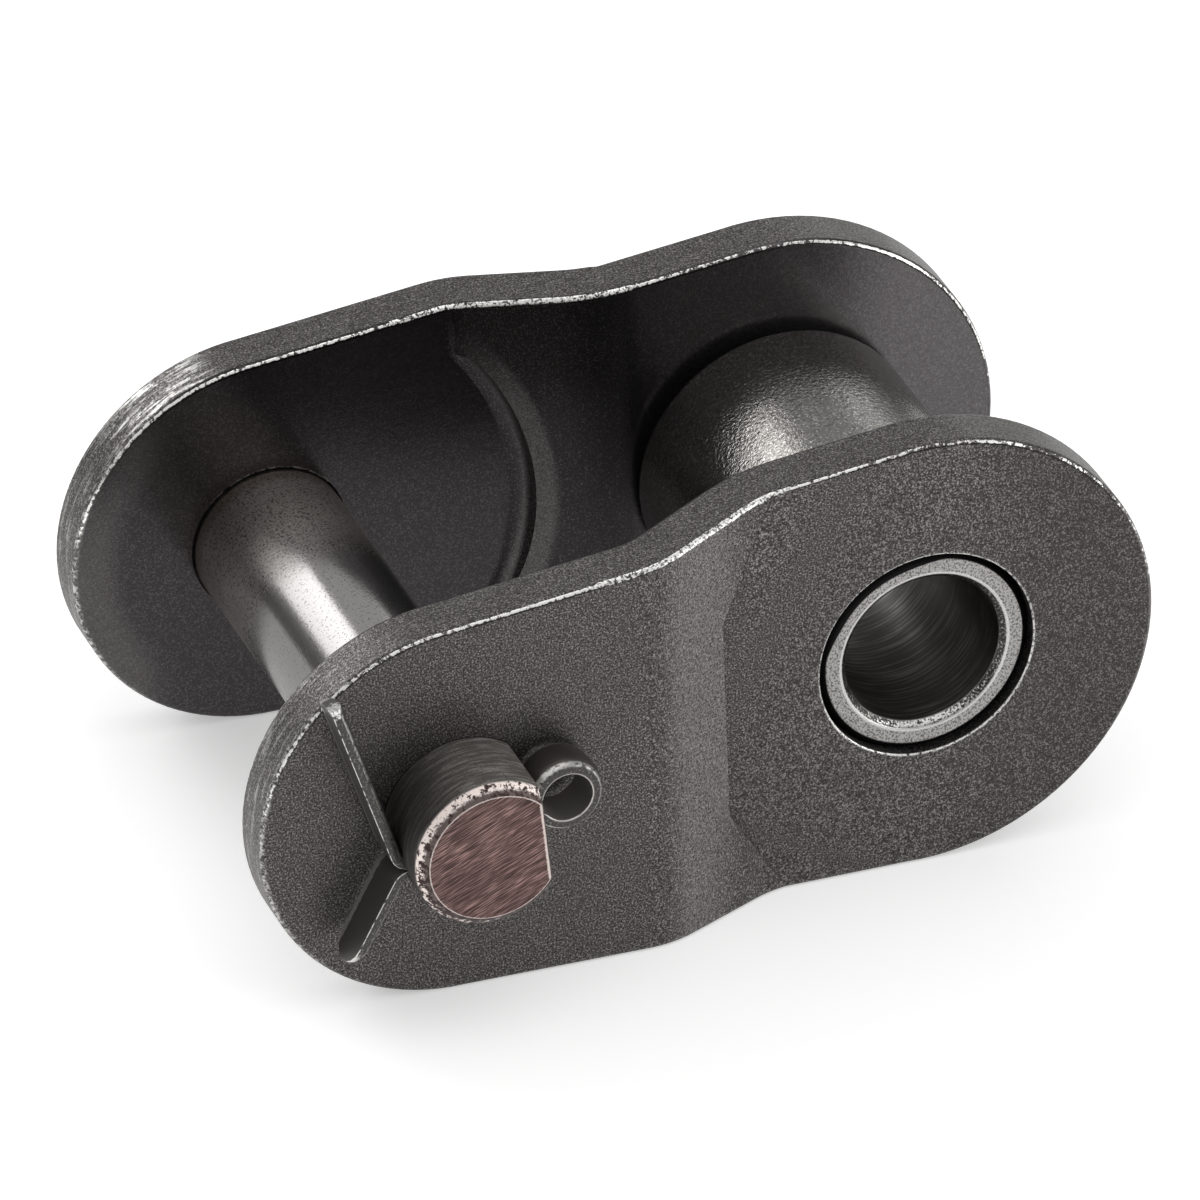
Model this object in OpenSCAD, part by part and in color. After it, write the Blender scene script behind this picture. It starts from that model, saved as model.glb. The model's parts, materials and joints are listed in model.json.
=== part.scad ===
// Offset link of a roller chain, standing on the lower edges of its side plates.
// X runs along the chain from the pin end to the bush end, Y along the pin, Z up.
// The origin is the middle of the bush's bore.

/* [Plates] */
// Distance between the pin axis and the bush axis
pitch = 25.4; // [25:0.1:32]
// Radius of the side plates' round end at the pin
pin_end_r = 10.25; // [8:0.05:11.5]
// Radius of the side plates' round end at the bush
bush_end_r = 11.95; // [9:0.05:12.8]
// Thickness of a side plate
plate_t = 2.75; // [2:0.05:4]
// Distance between the side plates at the bush end
bush_gap = 17.35; // [12:0.1:24]

/* [Crank] */
// Slope of the crank between the two flat ends, in degrees
crank_angle = 24.5; // [20:0.5:35]
// Distance from the bush axis to the middle of the crank
crank_mid = 12.1; // [11.5:0.05:12.6]
// Inside radius of the bend at the bush end
bush_bend_r = 7; // [3:0.1:8]
// Inside radius of the bend at the pin end
pin_bend_r = 3.4; // [1.5:0.1:5]
// Side play between the pin end and the bush end of the next link
side_play = 0.23; // [0.05:0.01:0.4]
// Distance from the bush axis to the straight end of the relief in the outer side of the crank
relief_x = 11.05; // [10.6:0.05:11.6]
// Half the height of the relief's straight end
relief_half = 5.5; // [4:0.1:7]
// Lean of the relief's upper and lower ends towards the bush, in degrees
relief_lean = 29; // [20:0.5:33]
// Metal left between the relief and the round pocket in the inner side of the crank
pocket_web = 0.85; // [0.5:0.05:1.5]
// Radius of the fillet at the foot of the pocket's wall
pocket_fillet_r = 0.9; // [0.3:0.05:1.2]
// Height of the floors of relief and pocket over the flat ends that they run out into
pocket_lift = 0.02; // [0.01:0.005:0.05]

/* [Bush and roller] */
// Thickness of the bush's wall
bush_wall = 1.58; // [1:0.02:2]
// Depth of the bush's ends below the plates' outer faces
bush_recess = 0.3; // [0.05:0.05:0.8]
// Chamfer round the outside of the bush's ends
bush_chamfer = 0.45; // [0.2:0.05:0.8]
// Chamfer at the mouths of the bush's bore
bore_chamfer = 0.35; // [0.1:0.05:0.6]
// Radial play of a chain pin in the bush
pin_play = 0.05; // [0.02:0.01:0.1]
// Thickness of the roller's wall
roller_wall = 1.7; // [1:0.05:2]
// Radial play of the roller on the bush
roller_play = 0.05; // [0.02:0.01:0.1]
// Play of the roller against each side plate
roller_side_play = 0.55; // [0.1:0.05:0.8]
// Rounded corner of the roller
roller_corner_r = 0.4; // [0.2:0.05:1]

/* [Pin] */
// Diameter of the pin
pin_d = 7.94; // [7:0.02:8.6]
// Length of the pin beyond the near plate
pin_reach = 4.57; // [4.2:0.05:6]
// Length of the pin beyond the far plate
pin_tail = 0.9; // [0.7:0.05:2]
// Chamfer on the ends of the pin
pin_chamfer = 0.55; // [0.2:0.05:0.6]
// Depth of the flat on the pin's near end
flat_depth = 1.28; // [0.6:0.02:1.5]
// Play between the pin's near end and the near plate's hole
flat_play = 0.05; // [0.02:0.01:0.1]
// Turn of the flat out of the pitch line, in degrees
flat_turn = 4; // [0:1:12]
// Turn of the cross hole out of the pitch line, in degrees
hole_turn = 13; // [0:1:16]

/* [Cotter] */
// Width of the cotter's wire, along the pin
wire_w = 2.3; // [1.8:0.05:2.4]
// Thickness of the wire from its flat side to its rounded back
wire_t = 0.7; // [0.5:0.02:0.8]
// Thickness of the wire at its edges
wire_edge = 0.35; // [0.2:0.01:0.4]
// Play between the wire and the cross hole in the pin
wire_play = 0.1; // [0.05:0.01:0.2]
// Distance between the cotter and the near plate
cotter_gap = 0.38; // [0.3:0.02:0.6]
// Inside radius of the cotter's eye
eye_r = 1.27; // [1.1:0.01:1.6]
// Distance from the pin's flat to the middle of the eye
eye_reach = 1.9; // [1.8:0.02:2.6]
// Inside radius of the small bends in the wire
wire_bend_r = 0.3; // [0.2:0.02:0.5]
// Gap between the flat sides of the two legs in the pin
leg_gap = 0.04; // [0.02:0.01:0.1]
// Distance from the pin's round side to the corner where the legs part
leg_reach = 0.48; // [0.46:0.02:1]
// Length of the upper leg from that corner
upper_leg = 10.1; // [4:0.1:11]
// Length of the lower leg from that corner
lower_leg = 5.4; // [3:0.1:8]
// Turn of the upper leg out of the hole's axis, in degrees
upper_spread = 87; // [40:1:88]
// Turn of the lower leg out of the hole's axis, in degrees
lower_spread = 47; // [40:1:88]
// Slant of the cut across the upper leg's tip, along the leg
tip_slant = 0.75; // [0:0.05:1]

/* [Hidden] */
$fn = 128;

plate_colour = [0.28, 0.27, 0.26];
bush_colour = [0.55, 0.54, 0.52];
roller_colour = [0.36, 0.35, 0.34];
pin_colour = [0.42, 0.36, 0.34];
cotter_colour = [0.5, 0.49, 0.47];

// Flat steps in a bend of a plate or of the wire, or in a fillet, and then round the eye, round
// the wire's section and at its tip
bend_steps = 8;
eye_steps = 24;
wire_steps = 6;
tip_steps = 4;
// Share of the wire's section left at the very end of the rounded tip
tip_end = 0.15;

// Depth of the straight edges of a plate inside the round ends' common tangents
edge_ease = 0.01;
// Small overlap that carries a cutting shape past the face it opens
over = 1;

// The lower edges are flat on the ground, so the pitch line rises to the larger end
rest_tilt = asin((bush_end_r - pin_end_r) / pitch);

// Faces of the far plate along Y. The near plate mirrors them.
crank = plate_t + side_play + 2 * pocket_lift;
bush_inner_y = bush_gap / 2;
bush_outer_y = bush_inner_y + plate_t;
pin_inner_y = bush_inner_y + crank;
pin_outer_y = pin_inner_y + plate_t;

// Middle line of the crank: two bends and a straight ramp between them
bush_mid_r = bush_bend_r + plate_t / 2;
pin_mid_r = pin_bend_r + plate_t / 2;
ramp = (crank - (bush_mid_r + pin_mid_r) * (1 - cos(crank_angle))) / sin(crank_angle);
ramp_half = ramp / 2 * cos(crank_angle);

// Round pocket in the inner side of the crank, round the pin axis
pin_pocket_r = pitch - relief_x - pocket_web;

// Radii from the chain's pin outwards through the walls of bush and roller
bore_r = pin_d / 2 + pin_play;
bush_r = bore_r + bush_wall;
bush_half = bush_outer_y - bush_recess;
roller_bore_r = bush_r + roller_play;
roller_r = roller_bore_r + roller_wall;
roller_half = bush_inner_y - roller_side_play;

pin_r = pin_d / 2;
pin_near_y = -pin_outer_y - pin_reach;
pin_far_y = pin_outer_y + pin_tail;
flat_x = pin_r - flat_depth;

// Cotter: its wire in the cross hole, then its eye and its legs along the hole's axis
cotter_y = -pin_outer_y - cotter_gap - wire_w / 2;
cross_hole_r = sqrt(pow(wire_w / 2, 2) + pow(wire_edge + leg_gap / 2, 2)) + wire_play;
// Flat side of the wire in the small bends, measured from each bend's centre
wire_flat_r = wire_bend_r + wire_t;
neck_angle = asin((wire_flat_r + leg_gap / 2) / (eye_r + wire_flat_r));
eye_x = flat_x + eye_reach;
neck_x = eye_x - (eye_r + wire_flat_r) * cos(neck_angle);
legs_x = -pin_r - leg_reach;
upper_bend = wire_flat_r * tan(upper_spread / 2);
lower_bend = wire_flat_r * tan(lower_spread / 2);

// Stands the link on its lower edges
module standing() {
    rotate([0, -rest_tilt, 0]) children();
}

// Turns a shape drawn upright along Z to lie along +Y
module along_y() {
    rotate([-90, 0, 0]) children();
}

// Points on an arc, from one angle to another
function arc(centre, r, from, to, steps) =
    [for (i = [0:steps]) let (a = from + (to - from) * i / steps) centre + r * [cos(a), sin(a)]];

// Closed solid through a list of rings with equal counts of points
module swept(rings) {
    count = len(rings[0]);
    last = (len(rings) - 1) * count;
    sides = [for (r = [0:len(rings) - 2], i = [0:count - 1])
        let (j = (i + 1) % count) [r * count + i, r * count + j, (r + 1) * count + j, (r + 1) * count + i]];
    first_cap = [for (i = [count - 1:-1:0]) i];
    last_cap = [for (i = [0:count - 1]) last + i];
    polyhedron([for (ring = rings, p = ring) p], concat([first_cap], sides, [last_cap]));
}

// Side view of a plate: two round ends and their common tangents
module plate_outline() {
    lean = [-sin(rest_tilt), cos(rest_tilt)];
    flip = [lean[0], -lean[1]];
    pin_end = [-pitch, 0];
    bush_edge = bush_end_r - edge_ease;
    pin_edge = pin_end_r - edge_ease;
    circle(r = bush_end_r);
    translate(pin_end) circle(r = pin_end_r);
    polygon([bush_edge * lean, pin_end + pin_edge * lean, pin_end + pin_edge * flip, bush_edge * flip]);
}

// Plan view of the far plate: flat at both ends, with the crank between
module plate_plan() {
    bush_x = -crank_mid + ramp_half + bush_mid_r * sin(crank_angle);
    pin_x = -crank_mid - ramp_half - pin_mid_r * sin(crank_angle);
    bush_centre = [bush_x, bush_outer_y + bush_bend_r];
    pin_centre = [pin_x, pin_inner_y - pin_bend_r];
    right = bush_end_r + over;
    left = -pitch - pin_end_r - over;
    polygon(concat(
        [[right, bush_outer_y]],
        arc(bush_centre, bush_bend_r, -90, -90 - crank_angle, bend_steps),
        arc(pin_centre, pin_bend_r + plate_t, 90 - crank_angle, 90, bend_steps),
        [[left, pin_outer_y], [left, pin_inner_y]],
        arc(pin_centre, pin_bend_r, 90, 90 - crank_angle, bend_steps),
        arc(bush_centre, bush_bend_r + plate_t, -90 - crank_angle, -90, bend_steps),
        [[right, bush_inner_y]]
    ));
}

// Side view of the relief, open towards the bush
module relief_outline() {
    top = bush_end_r + over;
    end_x = relief_x - (top - relief_half) * tan(relief_lean);
    polygon([
        [0, -top],
        [-end_x, -top],
        [-relief_x, -relief_half],
        [-relief_x, relief_half],
        [-end_x, top],
        [0, top]
    ]);
}

// Round cutter for the pocket, along Y, with its far rim rounded
module pocket_cutter(h) {
    rim_centre = [pin_pocket_r - pocket_fillet_r, h - pocket_fillet_r];
    along_y() rotate_extrude() polygon(concat(
        [[0, 0], [pin_pocket_r, 0]],
        arc(rim_centre, pocket_fillet_r, 0, 90, bend_steps),
        [[0, h]]
    ));
}

// A far plate before its pin hole is made
module cranked_plate() {
    height = 2 * max(pin_end_r, bush_end_r) + 2 * over;
    depth = pin_outer_y + over;
    pocket_h = pin_outer_y - bush_outer_y + over;
    difference() {
        intersection() {
            translate([0, depth, 0]) rotate([90, 0, 0]) linear_extrude(depth) plate_outline();
            linear_extrude(height, center = true) plate_plan();
        }
        translate([0, bush_outer_y + pocket_lift + pocket_h, 0])
            rotate([90, 0, 0]) linear_extrude(pocket_h) relief_outline();
        translate([-pitch, pin_inner_y - pocket_lift - pocket_h, 0]) pocket_cutter(pocket_h);
        along_y() cylinder(r = bush_r, h = depth);
    }
}

// Round bar along Y from one place to another, with chamfered ends
module chamfered_bar(r, from, to, chamfer) {
    translate([0, from, 0]) along_y() rotate_extrude() polygon([
        [0, 0],
        [r - chamfer, 0],
        [r, chamfer],
        [r, to - from - chamfer],
        [r - chamfer, to - from],
        [0, to - from]
    ]);
}

// Everything on the pin's flat side, for a flat at the given distance from the pin's axis
module beyond_flat(distance, from, to) {
    translate([distance, from, -pin_d]) cube([pin_d, to - from, 2 * pin_d]);
}

// Carries a shape from the pin's axis to the pin's place in the link, turned about the pin
module at_pin(turned = 0) {
    translate([-pitch, 0, 0]) rotate([0, -turned, 0]) children();
}

module near_plate() {
    hole_from = -pin_outer_y - over;
    hole_to = -pin_inner_y + over;
    color(plate_colour) standing() difference() {
        mirror([0, 1, 0]) cranked_plate();
        at_pin(flat_turn) difference() {
            translate([0, hole_from, 0]) along_y() cylinder(r = pin_r + flat_play, h = hole_to - hole_from);
            beyond_flat(flat_x + flat_play, hole_from - over, hole_to + over);
        }
    }
}

module far_plate() {
    color(plate_colour) standing() difference() {
        cranked_plate();
        at_pin() along_y() cylinder(r = pin_r, h = pin_outer_y + over);
    }
}

module bush() {
    color(bush_colour) standing() along_y() rotate_extrude() polygon([
        [bore_r + bore_chamfer, -bush_half],
        [bush_r - bush_chamfer, -bush_half],
        [bush_r, -bush_half + bush_chamfer],
        [bush_r, bush_half - bush_chamfer],
        [bush_r - bush_chamfer, bush_half],
        [bore_r + bore_chamfer, bush_half],
        [bore_r, bush_half - bore_chamfer],
        [bore_r, -bush_half + bore_chamfer]
    ]);
}

// Section of the roller: a tube wall with its outer corners rounded
module roller_section() {
    straight_half = roller_half - roller_corner_r;
    translate([roller_bore_r, -roller_half]) square([roller_wall - roller_corner_r, 2 * roller_half]);
    translate([roller_r - roller_corner_r, -straight_half]) square([roller_corner_r, 2 * straight_half]);
    for (end = [-1, 1])
        translate([roller_r - roller_corner_r, end * straight_half]) intersection() {
            circle(r = roller_corner_r);
            translate([0, end > 0 ? 0 : -roller_corner_r]) square(roller_corner_r);
        }
}

module roller() {
    color(roller_colour) standing() along_y() rotate_extrude() roller_section();
}

module pin() {
    color(pin_colour) standing() difference() {
        at_pin() chamfered_bar(pin_r, pin_near_y, pin_far_y, pin_chamfer);
        at_pin(flat_turn) beyond_flat(flat_x, pin_near_y - over, -pin_inner_y);
        at_pin(hole_turn) translate([-pin_d, cotter_y, 0])
            rotate([0, 90, 0]) cylinder(r = cross_hole_r, h = 2 * pin_d);
    }
}

// The cotter is one wire. Its flat side follows a line in the plane across the pin, given as
// [point, heading] pairs from the upper tip round the eye to the lower tip, body on the left.

// Stretch of the line round a centre. A turn to the left has a positive radius.
function turn(centre, r, from, to, steps) =
    [for (i = [0:steps]) let (a = from + (to - from) * i / steps)
        [centre + abs(r) * [cos(a), sin(a)], r > 0 ? a + 90 : a - 90]];

// Straight stretch from a point along a heading, with a ring at every length listed
function run(start, heading, lengths) =
    [for (l = lengths) [start + l * [cos(heading), sin(heading)], heading]];

// Ring of the wire's section at one place on the line, drawn in to a share of its size, with
// its front side moved back along the line by half of the slant and its rear side forward
function wire_ring(place, share, slant) =
    let (
        ahead = [cos(place[1]), sin(place[1])],
        left = [-ahead[1], ahead[0]],
        back = [for (i = [0:wire_steps]) let (a = 180 * i / wire_steps)
            [wire_w / 2 * cos(a), wire_edge + (wire_t - wire_edge) * sin(a)]],
        section = concat([[wire_w / 2, 0]], back, [[-wire_w / 2, 0]])
    )
    [for (q = section) let (p = place[0] + share * q[1] * left - slant * q[0] / wire_w * ahead)
        [p[0], p[1], share * q[0]]];

module cotter() {
    rise = leg_gap / 2 + wire_flat_r;
    upper_centre = [legs_x + upper_bend, rise];
    lower_centre = [legs_x + lower_bend, -rise];
    upper_from = -90 - upper_spread;
    lower_to = 90 + lower_spread;
    upper_start = upper_centre + wire_flat_r * [cos(upper_from), sin(upper_from)];
    lower_start = lower_centre + wire_flat_r * [cos(lower_to), sin(lower_to)];
    upper_run = upper_leg - upper_bend;
    lower_run = lower_leg - lower_bend;
    // The lower tip is rounded off over half the width of the wire
    tip = [for (i = [0:tip_steps]) sin(90 * i / tip_steps)];
    tip_shares = [for (t = tip) max(tip_end, sqrt(1 - pow(t, 2)))];
    line = concat(
        run(upper_start, -upper_spread, [-upper_run]),
        turn(upper_centre, wire_flat_r, upper_from, -90, bend_steps),
        turn([neck_x, rise], wire_flat_r, -90, -neck_angle, bend_steps),
        turn([eye_x, 0], -eye_r, 180 - neck_angle, neck_angle - 180, eye_steps),
        turn([neck_x, -rise], wire_flat_r, neck_angle, 90, bend_steps),
        turn(lower_centre, wire_flat_r, 90, lower_to, bend_steps)
    );
    end = run(lower_start, 180 + lower_spread, [for (t = tip) lower_run - (1 - t) * wire_w / 2]);
    color(cotter_colour) standing() at_pin(hole_turn) translate([0, cotter_y, 0]) rotate([90, 0, 0])
        swept(concat(
            [for (i = [0:len(line) - 1]) wire_ring(line[i], 1, i == 0 ? tip_slant : 0)],
            [for (i = [0:len(end) - 1]) wire_ring(end[i], tip_shares[i], 0)]
        ));
}

near_plate();
far_plate();
bush();
roller();
pin();
cotter();
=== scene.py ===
"""Looks of a roller chain's offset link: worn black plates, pin, bush, roller and cotter."""

import json
import logging
import math
from collections.abc import Callable
from dataclasses import dataclass
from enum import Enum

import bmesh
import bpy
from mathutils import Matrix, Vector


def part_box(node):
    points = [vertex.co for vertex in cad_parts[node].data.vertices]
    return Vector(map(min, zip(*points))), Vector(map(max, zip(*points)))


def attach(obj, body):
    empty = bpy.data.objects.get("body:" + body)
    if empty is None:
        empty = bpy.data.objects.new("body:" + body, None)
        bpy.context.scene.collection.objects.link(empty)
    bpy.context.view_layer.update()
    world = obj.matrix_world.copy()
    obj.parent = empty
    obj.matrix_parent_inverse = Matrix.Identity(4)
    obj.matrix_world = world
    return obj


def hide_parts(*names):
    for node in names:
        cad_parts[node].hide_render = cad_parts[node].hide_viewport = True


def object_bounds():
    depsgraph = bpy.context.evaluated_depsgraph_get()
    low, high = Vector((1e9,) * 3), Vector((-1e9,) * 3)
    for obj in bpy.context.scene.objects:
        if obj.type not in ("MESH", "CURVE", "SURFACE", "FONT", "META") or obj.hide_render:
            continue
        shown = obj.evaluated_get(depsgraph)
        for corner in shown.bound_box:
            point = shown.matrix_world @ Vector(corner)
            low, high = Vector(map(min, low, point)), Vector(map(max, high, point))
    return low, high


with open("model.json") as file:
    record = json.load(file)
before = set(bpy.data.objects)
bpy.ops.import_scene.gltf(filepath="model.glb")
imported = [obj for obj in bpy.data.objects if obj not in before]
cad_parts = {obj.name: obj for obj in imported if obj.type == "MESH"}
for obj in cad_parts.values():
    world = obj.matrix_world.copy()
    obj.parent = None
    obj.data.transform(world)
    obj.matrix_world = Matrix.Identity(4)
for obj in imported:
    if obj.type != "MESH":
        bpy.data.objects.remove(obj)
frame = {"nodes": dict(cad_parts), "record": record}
CAD_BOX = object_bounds()

LOG = logging.getLogger("offset_link")
LINK = "link"
MM = 0.001
MERGE = 0.0002 * MM

FLAT = math.radians(0.2)

RGB = tuple[float, float, float]
EdgeTest = Callable[[bmesh.types.BMEdge], bool]
PointTest = Callable[[Vector], bool]


def tint(red: int, green: int, blue: int) -> RGB:
    """Turns a colour as it shows on a screen into the light that a shader mixes.

    Args:
        red: Red from 0 to 255.
        green: Green from 0 to 255.
        blue: Blue from 0 to 255.

    Returns:
        The three linear shares.
    """
    shares = (red / 255, green / 255, blue / 255)
    return tuple(s / 12.92 if s <= 0.04045 else ((s + 0.055) / 1.055) ** 2.4 for s in shares)


def mount(name: str) -> dict:
    """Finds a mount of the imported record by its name."""
    return next(m for m in frame["record"]["mounts"] if m["name"] == name)


def outline_depth(point: Vector, pin: Vector, bush_end: float, pin_end: float) -> float:
    """Measures how far a point lies inside a plate's outline, seen along Y.

    Args:
        point: The point. The bush's axis is at the origin.
        pin: A point on the pin's axis.
        bush_end: Radius of the plate's round end at the bush.
        pin_end: Radius of the plate's round end at the pin.

    Returns:
        The depth, which is 0 on the outline.
    """
    pitch = math.hypot(pin.x, pin.z)
    along = (point.x * pin.x + point.z * pin.z) / pitch
    across = abs(point.x * pin.z - point.z * pin.x) / pitch
    taper = (bush_end - pin_end) / pitch
    square = math.sqrt(1 - taper * taper)
    lead = along * square - across * taper
    if lead < 0:
        return bush_end - math.hypot(along, across)
    if lead > square * pitch:
        return pin_end - math.hypot(along - pitch, across)
    return bush_end - across * square - along * taper


class Signal:
    """A value that varies over a surface. Arithmetic on it adds the nodes that work it out."""

    def __init__(self, graph: "Graph", socket: bpy.types.NodeSocket) -> None:
        """Keeps the graph and the socket that gives the value."""
        self.graph = graph
        self.socket = socket

    def __add__(self, other: "Amount") -> "Signal":
        """Adds an amount."""
        return self.graph.maths("ADD", self, other)

    def __sub__(self, other: "Amount") -> "Signal":
        """Takes an amount away."""
        return self.graph.maths("SUBTRACT", self, other)

    def __rsub__(self, other: float) -> "Signal":
        """Takes the value away from a number."""
        return self.graph.maths("SUBTRACT", other, self)

    def __mul__(self, other: "Amount") -> "Signal":
        """Multiplies by an amount."""
        return self.graph.maths("MULTIPLY", self, other)

    __radd__ = __add__
    __rmul__ = __mul__


Amount = Signal | float


class Graph:
    """The nodes of one material, with the calls that the finishes below are written in."""

    def __init__(self, name: str) -> None:
        """Starts a material with one principled shader.

        Args:
            name: Name of the material.
        """
        self.material = bpy.data.materials.new(name)
        self.material.use_nodes = True
        self.tree = self.material.node_tree
        self.shader = self.tree.nodes["Principled BSDF"]
        self.where = self.tree.nodes.new("ShaderNodeTexCoord")

    def node(self, kind: str, inputs: dict, **settings: object) -> bpy.types.Node:
        """Adds a node.

        Args:
            kind: Blender's name for the kind of node.
            inputs: Signals to link or values to set, by the input's name or number.
            settings: Properties of the node.

        Returns:
            The node.
        """
        made = self.tree.nodes.new(kind)
        for key, value in settings.items():
            setattr(made, key, value)
        for key, value in inputs.items():
            if isinstance(value, Signal):
                self.tree.links.new(value.socket, made.inputs[key])
            else:
                made.inputs[key].default_value = value
        return made

    def maths(self, operation: str, first: Amount, second: Amount = 0.0) -> Signal:
        """Works out one operation on two amounts."""
        made = self.node("ShaderNodeMath", {0: first, 1: second}, operation=operation)
        return Signal(self, made.outputs[0])

    def larger(self, first: Amount, second: Amount) -> Signal:
        """Takes the larger of two amounts."""
        return self.maths("MAXIMUM", first, second)

    def size(self, value: Signal) -> Signal:
        """Drops the sign of a value."""
        return self.maths("ABSOLUTE", value)

    def step(self, value: Amount, low: Amount, high: Amount) -> Signal:
        """Rises smoothly from 0 to 1 as the value goes from low to high."""
        made = self.node(
            "ShaderNodeMapRange",
            {"Value": value, "From Min": low, "From Max": high},
            interpolation_type="SMOOTHSTEP",
        )
        return Signal(self, made.outputs[0])

    def fall(self, value: Amount, low: Amount, high: Amount) -> Signal:
        """Falls smoothly from 1 to 0 as the value goes from low to high."""
        return 1.0 - self.step(value, low, high)

    def between(self, value: Signal, low: float, high: float, soft: float) -> Signal:
        """Is 1 between two limits and fades to 0 over a soft width outside them."""
        return self.step(value, low - soft, low) * self.fall(value, high, high + soft)

    def place(self, scale: RGB = (1.0, 1.0, 1.0)) -> Signal:
        """Gives the place on the piece in millimetres, with each axis scaled."""
        factors = tuple(s / MM for s in scale)
        spot = Signal(self, self.where.outputs["Object"])
        made = self.node("ShaderNodeVectorMath", {0: spot, 1: factors}, operation="MULTIPLY")
        return Signal(self, made.outputs[0])

    def parts(self, vector: Signal) -> tuple[Signal, Signal, Signal]:
        """Splits a vector into its three values."""
        made = self.node("ShaderNodeSeparateXYZ", {0: vector})
        return tuple(Signal(self, out) for out in made.outputs)

    def normal(self) -> tuple[Signal, Signal, Signal]:
        """Gives the three values of the surface's normal."""
        return self.parts(Signal(self, self.where.outputs["Normal"]))

    def joined(self, x: Amount, y: Amount, z: Amount) -> Signal:
        """Makes a vector of three amounts."""
        return Signal(self, self.node("ShaderNodeCombineXYZ", {0: x, 1: y, 2: z}).outputs[0])

    def reach(self, x: Signal, z: Signal) -> Signal:
        """Gives the length of a vector in the plane across the pin."""
        return self.maths("SQRT", x * x + z * z)

    def noise(self, place: Signal, scale: float, detail: float = 2.0, rough: float = 0.5) -> Signal:
        """Gives soft noise around a half, with so many bumps to a millimetre."""
        inputs = {"Vector": place, "Scale": scale, "Detail": detail, "Roughness": rough}
        made = self.node("ShaderNodeTexNoise", inputs)
        return Signal(self, made.outputs[0])

    def mixed(self, share: Amount, first: Signal | RGB, second: Signal | RGB) -> Signal:
        """Mixes two colours.

        Args:
            share: Share of the second colour.
            first: Colour where the share is 0.
            second: Colour where the share is 1.

        Returns:
            The mixed colour.
        """
        colours = [c if isinstance(c, Signal) else (*c, 1.0) for c in (first, second)]
        inputs = {0: share, 6: colours[0], 7: colours[1]}
        made = self.node("ShaderNodeMix", inputs, data_type="RGBA", clamp_factor=True)
        return Signal(self, made.outputs[2])

    def bump(self, height: Signal, depth_mm: float, strength: float = 1.0) -> None:
        """Raises the surface's light by a height from 0 to 1, so many millimetres deep."""
        inputs = {"Height": height, "Distance": depth_mm * MM, "Strength": strength}
        made = self.node("ShaderNodeBump", inputs)
        self.tree.links.new(made.outputs[0], self.shader.inputs["Normal"])

    def surface(self, **inputs: Signal | float | RGB) -> bpy.types.Material:
        """Sets the shader's inputs, by their names in lower case.

        Args:
            inputs: Signals, numbers or colours.

        Returns:
            The finished material.
        """
        for key, value in inputs.items():
            socket = self.shader.inputs[key.replace("_", " ").title().replace("Ior", "IOR")]
            if isinstance(value, Signal):
                self.tree.links.new(value.socket, socket)
            else:
                socket.default_value = (*value, 1.0) if isinstance(value, tuple) else value
        return self.material


class Side(Enum):
    """Which side of the link a plate is on, as the sign of its outer face's direction along Y."""

    NEAR = -1
    FAR = 1


@dataclass(frozen=True)
class PlateSpot:
    """What a plate's finish knows of each point: its place, its normal and the face it lies on."""

    place: Signal
    x: Signal
    z: Signal
    nx: Signal
    nz: Signal
    from_pin: Signal
    facing: Signal
    outside: Signal
    wall: Signal
    inner: Signal
    streak: Signal


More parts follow.
